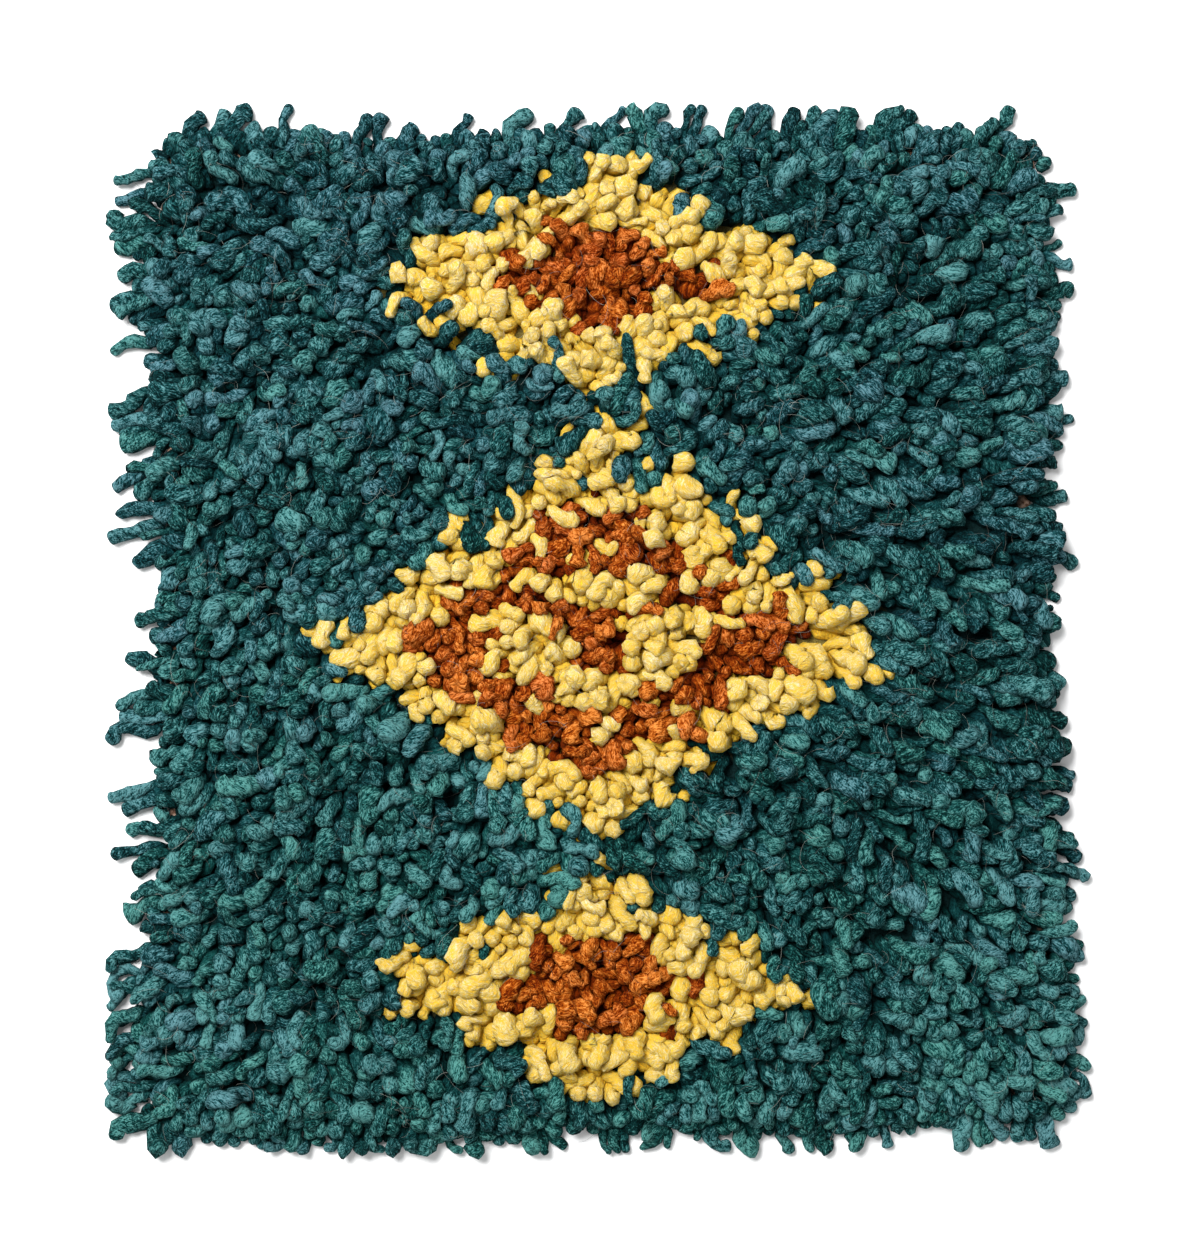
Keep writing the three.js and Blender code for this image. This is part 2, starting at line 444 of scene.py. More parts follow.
def rim_locks(across, up, rng):
    """For each lock: its nearness to the rim, from 0 to 1, its heading out, its length there,
    and whether it is a thin finger that stands out of the rest."""
    count = len(across)
    nearness, heading, length = np.zeros(count), np.zeros(count), np.zeros(count)
    finger = np.zeros(count, dtype=bool)
    draw = rng.uniform(0, 1, count)
    spread = rng.uniform(0.3, 1.25, count)
    out_angles = {"upper": 90, "right": 0, "lower": -90, "left": 180}
    distances = {
        "upper": (1 - up) * FIELD_LENGTH,
        "right": (1 - across) * FIELD_WIDTH,
        "lower": up * FIELD_LENGTH,
        "left": across * FIELD_WIDTH,
    }
    unevenness = RandomField(RIM_SEED)
    for name, side in SIDES.items():
        along = across if name in ("upper", "lower") else up
        place = np.stack([along * UNEVEN_STRETCHES, *np.full((2, count), 0.5 + len(name))], axis=1)
        uneven = 1 + UNEVENNESS * unevenness.at(place)
        near = np.clip(1 - (distances[name] - RIM_INSET) / RIM_WIDTH, 0, 1)
        nearest = near > nearness
        is_finger = nearest & (near > FINGER_NEARNESS) & (draw < side.finger_share)
        nearness[nearest] = near[nearest]
        heading[nearest] = math.radians(out_angles[name] + side.lean)
        finger[nearest] = is_finger[nearest]
        finger_reach = side.finger_reach * (0.72 + 0.28 * spread) * (1 + 0.3 * (uneven - 1))
        reach = np.where(is_finger, finger_reach, side.reach * spread * uneven)
        length[nearest] = (distances[name] + reach * MM)[nearest] + 2 * MM
    return nearness, heading, length, finger


# How far knots stray: along their row, as a share of their pitch, and across it
KNOT_STRAY = 0.16
ROW_STRAY = 1 * MM

# The limits of a lock's thickness and the range of its length, as shares of its wool's own
THICKNESS_LIMITS = (0.62, 1.3)
LENGTH_RANGE = (0.8, 1.15)

# How steeply fingers and other rim locks rise, in degrees
FINGER_LIFTS = (0, 20)
RIM_LIFTS = (5, 50)

# How steeply locks rise, in degrees: the mean, the spread, and the limits
LIFT = 27
LIFT_SPREAD = 13
LIFT_LIMITS = (4, 65)

# What combing does: it thins the locks by a share, draws them out by another, lays them lower
# and more alike, in degrees, and takes out a share of their bends
COMBED_OUT = 0.3
COMBED_GROWTH = 0.2
COMBED_LIE = 6
COMBED_CALM = 4
COMBED_STRAIGHTENING = 0.4

# How far locks bend as a whole and kink at each ball, in radians, and the shares of that which
# common locks and fingers keep
BEND = 0.12
KINK = 0.22
LOCK_BEND = 0.9
FINGER_BEND = 0.15

# How far rim locks stray from the way out, in radians
RIM_STRAY = 0.25
FINGER_STRAY = 0.12
FINGER_THINNESS = 0.92


def tied_locks(knot_pitch, row_pitch, rng):
    """Each lock's shares across and up the field, its wool, and the place where it is tied."""
    columns = round(FIELD_WIDTH / knot_pitch)
    rows = round(FIELD_LENGTH / row_pitch)
    across, up = np.meshgrid((np.arange(columns) + 0.5) / columns, (np.arange(rows) + 0.5) / rows)
    across, up = across.ravel(), up.ravel()
    places = plan_point(across, up)
    wools = wool_at(places)

    # Each knot ties its locks side by side.
    across, up = np.repeat(across, LOCKS_A_KNOT), np.repeat(up, LOCKS_A_KNOT)
    wools, places = np.repeat(wools, LOCKS_A_KNOT), np.repeat(places, LOCKS_A_KNOT, axis=0)
    count = len(places)
    side = np.arange(count) % LOCKS_A_KNOT - (LOCKS_A_KNOT - 1) / 2
    places[:, 0] += (side / LOCKS_A_KNOT + rng.uniform(-KNOT_STRAY, KNOT_STRAY, count)) * knot_pitch
    places[:, 1] += rng.normal(0, ROW_STRAY, count)
    return across, up, wools, places


def rising_chains(roots, spans, heading, lift, crookedness, rng):
    """Chains of balls from their roots. Each bends as a whole, and kinks a little at every ball."""
    count = len(roots)
    bend = rng.normal(0, BEND, (count, 1)) + rng.normal(0, KINK, (count, BALLS - 1))
    heading = heading[:, None] + np.cumsum(bend * crookedness, axis=1)
    lift = lift[:, None] + rng.normal(0, KINK, (count, BALLS - 1)) * crookedness
    way = np.stack([np.cos(heading) * np.cos(lift), np.sin(heading) * np.cos(lift), np.sin(lift)], axis=2)
    roots = roots[:, None]
    return np.concatenate([roots, roots + np.cumsum(way * spans[:, None, None], axis=1)], axis=1)


@functools.lru_cache(maxsize=1)
def settled_pile(knot_pitch, row_pitch, pile_height, ground_thickness):
    """The settled locks of a rug of these sizes."""
    rng = np.random.default_rng(PILE_SEED)
    across, up, wools, places = tied_locks(knot_pitch, row_pitch, rng)
    count = len(places)
    thickness, spread, length = np.array([WOOLS[wool][:3] for wool in wools]).T
    thickness, length = thickness * MM, length * MM
    radii = thickness / 2 * np.clip(np.exp(rng.normal(0, 1, count) * spread), *THICKNESS_LIMITS)
    length = length * rng.uniform(*LENGTH_RANGE, count)
    heading, combed = brushed_heading(across, up, rng)
    length = length * (1 + COMBED_GROWTH * combed)
    lift = rng.normal(0, 1, count) * (LIFT_SPREAD - COMBED_CALM * combed) + LIFT - COMBED_LIE * combed
    lift = np.radians(np.clip(lift, *LIFT_LIMITS))

    nearness, out_heading, rim_length, finger = rim_locks(across, up, rng)
    stray = rng.normal(0, 1, count) * np.where(finger, FINGER_STRAY, RIM_STRAY)
    turn = np.angle(np.exp(1j * (out_heading + stray - heading)))
    heading = heading + turn * nearness
    finger_lift, rim_lift = rng.uniform(*FINGER_LIFTS, count), rng.uniform(*RIM_LIFTS, count)
    low_lift = np.radians(np.where(finger, finger_lift, rim_lift))
    lift = lift * (1 - nearness) + low_lift * nearness
    length = length * (1 - nearness) + rim_length * nearness
    radii[finger] *= FINGER_THINNESS

    spans = (length - radii) / (BALLS - 1)
    crookedness = np.where(finger, FINGER_BEND, LOCK_BEND - COMBED_STRAIGHTENING * combed)[:, None]
    roots = np.column_stack([places, np.full(count, ground_thickness)])
    balls = rising_chains(roots, spans, heading, lift, crookedness, rng)

    # Combed wool lies in fewer and longer strands.
    kept = rng.uniform(0, 1, count) > COMBED_OUT * combed * (1 - nearness)
    balls = settle(balls[kept], radii[kept], spans[kept], combed[kept], pile_height)
    return Locks(balls, radii[kept], wools[kept])


def laid_pile():
    """The settled locks of the whole rug, at the sizes now set."""
    sizes = bpy.context.scene.rug_sizes
    return settled_pile(sizes.knot_pitch, sizes.row_pitch, sizes.pile_height, sizes.ground_thickness)


class RandomField:
    """A smooth random field in space, with a new value about every unit, from -1 to 1."""

    size = 32

    def __init__(self, seed):
        self.values = np.random.default_rng(seed).uniform(-1, 1, (self.size,) * 3)

    def at(self, points):
        """The field's values at points."""
        whole = np.floor(points).astype(int)
        part = points - whole
        part = part * part * (3 - 2 * part)
        result = 0
        for corner in np.ndindex(2, 2, 2):
            weight = np.prod(np.where(corner, part, 1 - part), axis=-1)
            x, y, z = np.moveaxis((whole + corner) % self.size, -1, 0)
            result = result + weight * self.values[x, y, z]
        return result


class PileTop:
    """Heights of the settled pile's upper side, on a grid of small cells."""

    cell = 2.5 * MM
    margin = 30 * MM
    smoothings = 12

    def __init__(self, locks):
        self.corner = np.array(CAD_BOX[0][:2]) - self.margin
        shape = np.ceil((np.array(CAD_BOX[1][:2]) + self.margin - self.corner) / self.cell).astype(int)
        self.heights = np.zeros(shape)
        radii = np.repeat(locks.radii[:, None], BALLS, axis=1).ravel()
        balls = locks.balls.reshape(-1, 3)
        for step in np.ndindex(5, 5):
            offset = (np.array(step) - 2) * self.cell
            rise = radii**2 - (offset**2).sum()
            covers = rise > 0
            x, y = self.cell_of(balls[covers, :2] + offset)
            np.maximum.at(self.heights, (x, y), balls[covers, 2] + np.sqrt(rise[covers]))
        self.smooth = self.blurred(self.heights, self.smoothings)

    def cell_of(self, places):
        """The numbers of the grid's cells at places."""
        cells = np.round((places - self.corner) / self.cell).astype(int)
        cells = np.clip(cells, 0, np.array(self.heights.shape) - 1)
        return cells[..., 0], cells[..., 1]

    @staticmethod
    def blurred(heights, times):
        """Heights averaged with their neighbours a number of times."""
        for _ in range(times):
            for axis in (0, 1):
                heights = (np.roll(heights, 1, axis) + heights + np.roll(heights, -1, axis)) / 3
        return heights

    def depth(self, points):
        """How far points lie below the pile's smoothed upper side, in metres."""
        return self.smooth[self.cell_of(points[..., :2])] - points[..., 2]

    def height(self, places):
        """Height of the pile at places, between the cells of its grid."""
        share = (places - self.corner) / self.cell
        low = np.clip(np.floor(share).astype(int), 0, np.array(self.heights.shape) - 2)
        share = share - low
        x, y = low[..., 0], low[..., 1]
        near = self.heights[x, y] * (1 - share[..., 1]) + self.heights[x, y + 1] * share[..., 1]
        far = self.heights[x + 1, y] * (1 - share[..., 1]) + self.heights[x + 1, y + 1] * share[..., 1]
        return near * (1 - share[..., 0]) + far * share[..., 0]


TOPS = {}


def pile_top():
    """The upper side of the settled pile, worked out once for each pile."""
    locks = laid_pile()
    if TOPS.get("locks") is not locks:
        TOPS.update(locks=locks, top=PileTop(locks))
    return TOPS["top"]


# A direction that hardly any lock runs along, to start its frames from
SIDEWAYS = np.array((0.31, 0.87, 0.39))


def frames_along(along):
    """Two directions square to many curves at each of their rings, which turn but don't twist."""
    across = np.cross(along[:, 0], SIDEWAYS)
    frames = []
    for ring in range(along.shape[1]):
        across = across - along[:, ring] * (across * along[:, ring]).sum(axis=1, keepdims=True)
        across /= np.linalg.norm(across, axis=1, keepdims=True)
        frames.append((across, np.cross(along[:, ring], across)))
    return np.stack([pair[0] for pair in frames], axis=1), np.stack([pair[1] for pair in frames], axis=1)


# Nothing of the pile comes through the ground's underside.
LEAST_HEIGHT = 0.5 * MM

# A lock's rings below its tip, and the points round each of them
LOCK_RINGS = 8
LOCK_SIDES = 9
LOCK_ANGLES = np.arange(LOCK_SIDES) / LOCK_SIDES * 2 * math.pi

# How steep the tip of a lock is at each ring of its dome, in degrees
DOME_SLOPES = (28, 56, 80)


# Ranges of how far a lock's dome stands out in radii, of how much wider than its middle its tip
# is, and of how fast its plies turn in radians a millimetre
BLUNTNESS_RANGE = (0.55, 1.1)
BLOOM_RANGE = (-0.22, 0.25)
TWIST_RANGE = (0.10, 0.24)

# About the means of the marks that puffs and plies leave, so that they add no thickness
PUFF_MEAN = 0.3
PLY_MEAN = 0.64


def lock_paths(balls, radii, rng):
    """The middle lines of locks and the ways they run, ring by ring, and their end points."""
    body = np.concatenate([[0, 1.0], np.linspace(1.9, BALLS - 1, LOCK_RINGS - 2)])
    middle = through(balls, body)
    along = through(balls, np.minimum(body + 0.2, BALLS - 1)) - through(balls, np.maximum(body - 0.2, 0))
    along /= np.linalg.norm(along, axis=2, keepdims=True)

    # The tip is a low dome of rings and one end point.
    slopes = np.radians(DOME_SLOPES)
    bluntness = rng.uniform(*BLUNTNESS_RANGE, (len(balls), 1, 1)) * radii[:, None, None]
    last, last_way = middle[:, -1:], along[:, -1:]
    dome = last + last_way * bluntness * np.sin(slopes)[None, :, None]
    end = last[:, 0] + last_way[:, 0] * bluntness[:, 0]
    end[:, 2] = np.maximum(end[:, 2], LEAST_HEIGHT)
    middle = np.concatenate([middle, dome], axis=1)
    along = np.concatenate([along, np.repeat(last_way, len(slopes), axis=1)], axis=1)
    return middle, along, end


def lock_profiles(count, rings, rng):
    """How thick each lock is at its rings, as a share of its radius."""
    share = np.arange(rings) / (rings - 1)
    profile = np.interp(share, (0, 0.2, 0.4, 1), (0.6, 0.9, 1, 1))
    bloom = rng.uniform(*BLOOM_RANGE, (count, 1))
    profile = profile[None] * (1 + bloom * np.clip(share[None] - 0.5, 0, 1) * 2)
    profile[:, -len(DOME_SLOPES):] *= np.cos(np.radians(DOME_SLOPES))
    return profile


def lock_lumps(radii, travelled, wool, rng):
    """How far the points of locks' skins stand out, and their places in a straightened lock."""
    count, rings = travelled.shape
    twist = travelled / MM * rng.uniform(*TWIST_RANGE, (count, 1)) * rng.choice((-1, 1), (count, 1))
    turned = LOCK_ANGLES[None, None] + twist[..., None] + rng.uniform(0, 6.28, (count, 1, 1))

    # Two plies show as a soft spiral, and lumps as puffs with creases between them.
    skin = np.stack([np.cos(turned), np.sin(turned)], axis=-1) * radii[:, None, None, None]
    down = np.repeat(travelled[:, :, None, None], LOCK_SIDES, axis=2)
    wool_place = np.concatenate([skin, down], axis=3) + rng.uniform(0, 4, (count, 1, 1, 3))
    puffs = np.abs(RandomField(PUFF_SEED).at(wool_place / (wool.puff_size * MM))) - PUFF_MEAN
    slub_place = np.stack([travelled / (wool.slub_length * MM), *np.full((2, count, rings), 0.5)], axis=-1)
    slubs = RandomField(SLUB_SEED).at(slub_place + rng.uniform(0, 31, (count, 1, 3)))
    ply = np.abs(np.cos(turned)) - PLY_MEAN
    growth = 1 + wool.ply_depth * ply + wool.puff_depth * puffs + wool.slub_depth * slubs[..., None]
    return growth * rng.uniform(0.97, 1.03, growth.shape), wool_place


def lock_surface(balls, radii, wool, rng):
    """The skins of like locks: rings of points from knot to tip, and the tips' end points."""
    middle, along, end = lock_paths(balls, radii, rng)
    count, rings = middle.shape[:2]
    first, second = frames_along(along)
    steps = np.linalg.norm(np.diff(middle, axis=1), axis=2)
    travelled = np.concatenate([np.zeros((count, 1)), np.cumsum(steps, axis=1)], axis=1)
    profile = lock_profiles(count, rings, rng)
    growth, wool_place = lock_lumps(radii, travelled, wool, rng)
    radius = radii[:, None, None] * profile[..., None] * growth
    points = (
        middle[:, :, None]
        + first[:, :, None] * (np.cos(LOCK_ANGLES)[None, None] * radius)[..., None]
        + second[:, :, None] * (np.sin(LOCK_ANGLES)[None, None] * radius)[..., None]
    )
    points[..., 2] = np.maximum(points[..., 2], LEAST_HEIGHT)
    return points, end, wool_place


def tube_faces(count, rings, sides):
    """Quads of count tubes, fans at their tips, and end faces at their roots."""
    stride = rings * sides + 1
    base = np.arange(count)[:, None, None] * stride
    near = base + np.arange(rings - 1)[None, :, None] * sides
    far = near + sides
    a = np.arange(sides)[None, None]
    b = (a + 1) % sides
    quads = np.stack([near + a, near + b, far + b, far + a], axis=-1)
    start = np.arange(count)[:, None] * stride
    a, b = a[0], b[0]
    last = start + (rings - 1) * sides
    tips = np.stack([last + a, last + b, np.broadcast_to(last + sides, (count, sides))], axis=-1)
    roots = start + a[:, ::-1]
    return quads.reshape(-1, 4), tips.reshape(-1, 3), roots


def tile_map(count, rings, sides):
    """A map that gives each tube a tile of its own, in the order of tube_faces."""
    grid = math.ceil(math.sqrt(count))
    column, row = np.arange(count) % grid, np.arange(count) // grid
    edge = 0.06

    def place(side_share, ring_share):
        """Points of every tile at shares of its width and height."""
        u = (column[:, None, None] + edge + (1 - 2 * edge) * side_share) / grid
        v = (row[:, None, None] + edge + (1 - 2 * edge) * ring_share) / grid
        return np.stack(np.broadcast_arrays(u, v), axis=-1)

    side = np.arange(sides)[None, None] / sides
    next_side = side + 1 / sides
    ring = np.arange(rings - 1)[None, :, None] / rings
    next_ring = ring + 1 / rings
    corners = ((side, ring), (next_side, ring), (next_side, next_ring), (side, next_ring))
    quads = np.stack([place(*corner) for corner in corners], axis=3)
    top = np.full((1, 1, 1), (rings - 1) / rings)
    end = np.ones((1, 1, 1))
    tips = np.stack([place(side, top), place(next_side, top), place(side + 0.5 / sides, end)], axis=3)
    angle = np.arange(sides)[None, None, ::-1] / sides * 2 * math.pi
    roots = place(0.02 + 0.01 * np.cos(angle), 0.01 + 0.008 * np.sin(angle))
    return np.concatenate([quads.reshape(-1, 2), tips.reshape(-1, 2), roots.reshape(-1, 2)])


def add_piece(name, points, face_sets, material, uv, attributes):
    """A new smooth mesh object that rides on the rug, from points and sets of like faces."""
    mesh = bpy.data.meshes.new(name)
    mesh.vertices.add(len(points))
    mesh.vertices.foreach_set("co", np.ascontiguousarray(points, dtype=np.float32).ravel())
    corners = np.concatenate([faces.ravel() for faces in face_sets])
    sizes = np.concatenate([np.full(len(faces), faces.shape[1]) for faces in face_sets])
    mesh.loops.add(len(corners))
    mesh.loops.foreach_set("vertex_index", corners.astype(np.int32))
    mesh.polygons.add(len(sizes))
    mesh.polygons.foreach_set("loop_start", (np.cumsum(sizes) - sizes).astype(np.int32))
    mesh.polygons.foreach_set("use_smooth", np.ones(len(sizes), dtype=bool))
    mesh.update(calc_edges=True)
    layer = mesh.uv_layers.new(name="OFBake")
    layer.data.foreach_set("uv", uv.astype(np.float32).ravel())
    for title, kind, values in attributes:
        layer = mesh.attributes.new(title, kind, "POINT")
        field = {"FLOAT": "value", "FLOAT_VECTOR": "vector", "FLOAT_COLOR": "color"}[kind]
        layer.data.foreach_set(field, np.ascontiguousarray(values, dtype=np.float32).ravel())
    mesh.validate()
    mesh.materials.append(material)
    piece = bpy.data.objects.new(name, mesh)
    bpy.context.scene.collection.objects.link(piece)
    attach(piece, BODY)
    return piece


def with_ends(rings, ends):
    """Values of tubes' ring points with those of their end points, in the order of tube_faces."""
    values = rings.reshape(len(rings), -1, rings.shape[-1])
    return np.concatenate([values, ends[:, None]], axis=1).reshape(-1, rings.shape[-1])


def add_tubes(name, skins, ends, material, attributes):
    """A piece of many closed tubes, from the points of their rings and their end points."""
    numbers = skins.shape[:3]
    points = with_ends(skins, ends)
    return add_piece(name, points, tube_faces(*numbers), material, tile_map(*numbers), attributes)


def node(tree, kind, inputs=(), **settings):
    """A shader node with its settings, its inputs given as values or as other nodes' outputs."""
    made = tree.nodes.new("ShaderNode" + kind)
    for name, value in settings.items():
        setattr(made, name, value)
    for name, value in dict(inputs).items():
        if isinstance(value, bpy.types.NodeSocket):
            tree.links.new(value, made.inputs[name])
        else:
            made.inputs[name].default_value = value
    return made


def new_material(name):
    """An empty node material and its tree."""
    material = bpy.data.materials.new(name)
    material.use_nodes = True
    material.node_tree.nodes.clear()
    return material, material.node_tree


def attribute(tree, name, output="Fac"):
    """What the mesh says of each point under this name."""
    return node(tree, "Attribute", attribute_name=name).outputs[output]


def scaled(tree, vector, scale):
    """A vector or colour times another, axis by axis."""
    return node(tree, "VectorMath", {0: vector, 1: scale}, operation="MULTIPLY").outputs[0]


def mixed(tree, share, first, second):
    """A colour between two others."""
    return node(tree, "Mix", {"Factor": share, 6: first, 7: second}, data_type="RGBA").outputs[2]


def shade_of(colour, factor):
    """A colour made darker or lighter, with its alpha."""
    return tuple(min(1, channel * factor) for channel in colour) + (1,)


def mapped(tree, value, low, high, to_low, to_high):
    """A value between low and high turned into one between two others."""
    ends = {"Value": value, "From Min": low, "From Max": high, "To Min": to_low, "To Max": to_high}
    return node(tree, "MapRange", ends).outputs[0]


def calculated(tree, operation, first, *others):
    """Values joined by one operation, in turn, or one value changed by it."""
    if not others:
        return node(tree, "Math", {0: first}, operation=operation).outputs[0]
    for other in others:
        first = node(tree, "Math", {0: first, 1: other}, operation=operation).outputs[0]
    return first


def weighted(tree, parts):
    """The sum of values, each times its share."""
    return calculated(tree, "ADD", *(calculated(tree, "MULTIPLY", value, share) for value, share in parts))


def noise(tree, place, across, along, detail, distortion=0):
    """Noise with features of two sizes in metres: across the lock, and along it."""
    vector = scaled(tree, place, (1 / across, 1 / across, 1 / along))
    inputs = {"Vector": vector, "Scale": 1, "Detail": detail, "Roughness": 0.65, "Distortion": distortion}
    return node(tree, "TexNoise", inputs).outputs["Fac"]


# Noise seldom leaves this range.
NOISE_RANGE = (0.3, 0.7)


def full_noise(tree, place, across, along, detail):
    """Noise that is spread over the whole range from 0 to 1."""
    return mapped(tree, noise(tree, place, across, along, detail), *NOISE_RANGE, 0, 1)


FIBRE_WIDTH = 0.55 * MM


def fibres(tree, place, axis, angle, length, distortion):
    """Fine lines that run along a direction turned from the lock's own: 1 on a line, 0 beside it."""
    turning = {"Vector": place, "Axis": axis, "Angle": math.radians(angle)}
    turned = node(tree, "VectorRotate", turning, rotation_type="AXIS_ANGLE").outputs[0]
    value = noise(tree, turned, FIBRE_WIDTH, length, 0, distortion)
    off = calculated(tree, "ABSOLUTE", calculated(tree, "SUBTRACT", value, 0.5))
    return mapped(tree, off, 0, 0.18, 1, 0)


def puffs(tree, place, size):
    """Rounded nubs with creases between them: 1 on a nub's top, 0 in a crease."""
    unit = (1 / size,) * 3
    bending = {"Vector": scaled(tree, place, unit), "Scale": 1.3, "Detail": 0}
    bend = scaled(tree, node(tree, "TexNoise", bending).outputs["Color"], (size * 0.9,) * 3)
    bent = node(tree, "VectorMath", {0: place, 1: bend}, operation="ADD").outputs[0]
    inputs = {"Vector": scaled(tree, bent, unit), "Scale": 1}
    cells = node(tree, "TexVoronoi", inputs, feature="F1").outputs["Distance"]
    return mapped(tree, cells, 0.15, 0.85, 1, 0)


def deepened(colour, amount):
    """A colour made purer: its channels raised to a power, with the strongest one kept."""
    strongest = max(colour)
    return tuple(strongest * (channel / strongest) ** (1 + amount) for channel in colour)


def wool_colours(tree, level, colour, depth_of_dark, highlight_paleness, highlight):
    """Colours of one wool by level, from painted shade in its creases at 0 to a pale painted highlight on
    its tops at 1.
    """
    ramp = node(tree, "ValToRGB", {"Fac": level})
    # The crease colour is painted shade, purer in hue; where depth_of_dark is above 1, as in the yellow,
    # it is bright painted bounce light. The top colour is a painted highlight.
    stops = (
        (0.0, shade_of(deepened(colour, 1.2), depth_of_dark)),
        (0.36, shade_of(deepened(colour, 0.7), 0.64 + 0.28 * depth_of_dark)),
        (0.62, shade_of(deepened(colour, 0.2), 1.35)),
        (1.0, shade_of(tuple(channel * (1 - highlight_paleness) + max(colour) * highlight_paleness for channel in colour), highlight)),
    )
    elements = ramp.color_ramp.elements
    while len(elements) < len(stops):
        elements.new(0.5)
    for element, (place, shade) in zip(elements, stops):
        element.position = place
        element.color = shade
    return ramp.outputs[0]


def raised(tree, height, strength, depth):
    """The direction that a surface faces, bent by heights from 0 to 1."""
    return node(tree, "Bump", {"Strength": strength, "Distance": depth, "Height": height}).outputs[0]


def add_surface(tree, inputs):
    """The shader of a material, from its inputs."""
    shader = node(tree, "BsdfPrincipled", inputs).outputs[0]
    node(tree, "OutputMaterial", {"Surface": shader})


class WoolLook(NamedTuple):
    """How strongly one wool's colour changes by its marks, how dark its painted shade gets in creases and
    hollows, how pale and bright its painted highlight is on tops, and how its colour leans in cool and in
    warm locks."""

    fibre_contrast: float
    grain_contrast: float
    nub_contrast: float
    nub_size: float
    clump_contrast: float
    tone_contrast: float
    hollow_shade_level: float
    dark: float
    highlight_paleness: float
    highlight: float
    sheen: float
    glow: float
    cool: tuple
    warm: tuple


WOOL_LOOKS = {
    "teal": WoolLook(
        fibre_contrast=0.16, grain_contrast=0.78, nub_contrast=0.3, nub_size=3.2, clump_contrast=0.32,
        tone_contrast=0.4, hollow_shade_level=0.1, dark=0.11, highlight_paleness=0.2, highlight=4.2, sheen=0.05, glow=0,
        cool=(1.1, 0.92, 1.06), warm=(0.9, 1.06, 0.94),
    ),
    "yellow": WoolLook(
        fibre_contrast=0.3, grain_contrast=0.42, nub_contrast=0.12, nub_size=3.4, clump_contrast=0.12,
        tone_contrast=0.1, hollow_shade_level=0.35, dark=2.4, highlight_paleness=0.42, highlight=1.5, sheen=0.08, glow=0.4,
        cool=(1.02, 1.04, 1.15), warm=(0.98, 0.95, 0.8),
    ),
    "rust": WoolLook(
        fibre_contrast=0.16, grain_contrast=0.56, nub_contrast=0.22, nub_size=2.8, clump_contrast=0.22,
        tone_contrast=0.24, hollow_shade_level=0.12, dark=0.15, highlight_paleness=0.05, highlight=2.6, sheen=0.06, glow=0,
        cool=(0.9, 0.8, 1.0), warm=(1.08, 1.15, 0.95),
    ),
}

# How far light spreads inside pale wool
GLOW_REACH = 2.5 * MM


def wool_marks(tree, place, nub_size):
    """The marks on felted roving, each from 0 to 1: its fibres, grain, nubs and clumps."""
    along = fibres(tree, place, (1, 0, 0), 0, 2.6 * MM, 1.4)
    slanting = fibres(tree, place, (1, 0.2, 0), 48, 2.2 * MM, 1.8)
    crossing = fibres(tree, place, (0.3, 1, 0.1), -56, 2.2 * MM, 1.8)
    fleece = calculated(tree, "MAXIMUM", along, slanting, crossing)
    grain = full_noise(tree, place, 0.65 * MM, 0.95 * MM, 3)
    clumps = full_noise(tree, place, 2.2 * MM, 3.4 * MM, 2)
    return fleece, grain, puffs(tree, place, nub_size), clumps


def wool_material(wool, colour):
    """Felted roving: crossing fibres on soft clumps, and a tone of its own for each lock."""
    material, tree = new_material(f"{wool}_wool")
    look = WOOL_LOOKS[wool]
    place = attribute(tree, "wool_place", "Vector")
    fleece, grain, nubs, clumps = wool_marks(tree, place, look.nub_size * MM)
    # The nubs' tops are lighter and their creases darker in colour: painted shade of the relief that the
    # bump draws too.
    contrasts = (
        (fleece, look.fibre_contrast),
        (grain, look.grain_contrast),
        (nubs, look.nub_contrast),
        (clumps, look.clump_contrast),
        (attribute(tree, "tone"), look.tone_contrast),
    )
    changes = [mapped(tree, mark, 0, 1, -contrast, contrast) for mark, contrast in contrasts]
    # Painted shade in the pile's hollows: the deeper a point lies below the pile's upper side, the lower
    # its level, down to a level set for each wool.
    painted_hollow_shade = mapped(tree, attribute(tree, "depth"), 0, 1, 1, look.hollow_shade_level)
    level = calculated(tree, "MULTIPLY", calculated(tree, "ADD", *changes, 0.5), painted_hollow_shade)
    shade = wool_colours(tree, level, colour, look.dark, look.highlight_paleness, look.highlight)
    hue = mixed(tree, attribute(tree, "cast"), (*look.cool, 1), (*look.warm, 1))
    height = weighted(tree, ((nubs, 0.9), (clumps, 0.5), (grain, 0.3)))
    inputs = {
        "Base Color": scaled(tree, shade, hue),
        "Roughness": 0.95,
        "Specular IOR Level": 0.05,
        "Subsurface Weight": look.glow,
        "Subsurface Radius": (1, 0.8, 0.4),
        "Subsurface Scale": GLOW_REACH,
        "Sheen Weight": look.sheen,
        "Sheen Roughness": 0.6,
        "Sheen Tint": shade_of(colour, 2.2),
        "Normal": raised(tree, height, 1, 1 * MM),
    }
    add_surface(tree, inputs)
    return material


# Depth below the pile's smoothed upper side at which the wool's painted shade in the pile's hollows is
# darkest
HOLLOW_SHADE_DEPTH = 8 * MM


class Patch(NamedTuple):
    """Wool of a slightly different shade in one part of the rug, in metres."""

    x: float
    y: float
    reach: float
    change: float


# How tones and casts lie between 0 and 1: more in the middle, the greater these are
TONE_SPREAD = (2.2, 2.2)
CAST_SPREAD = (1.6, 1.6)

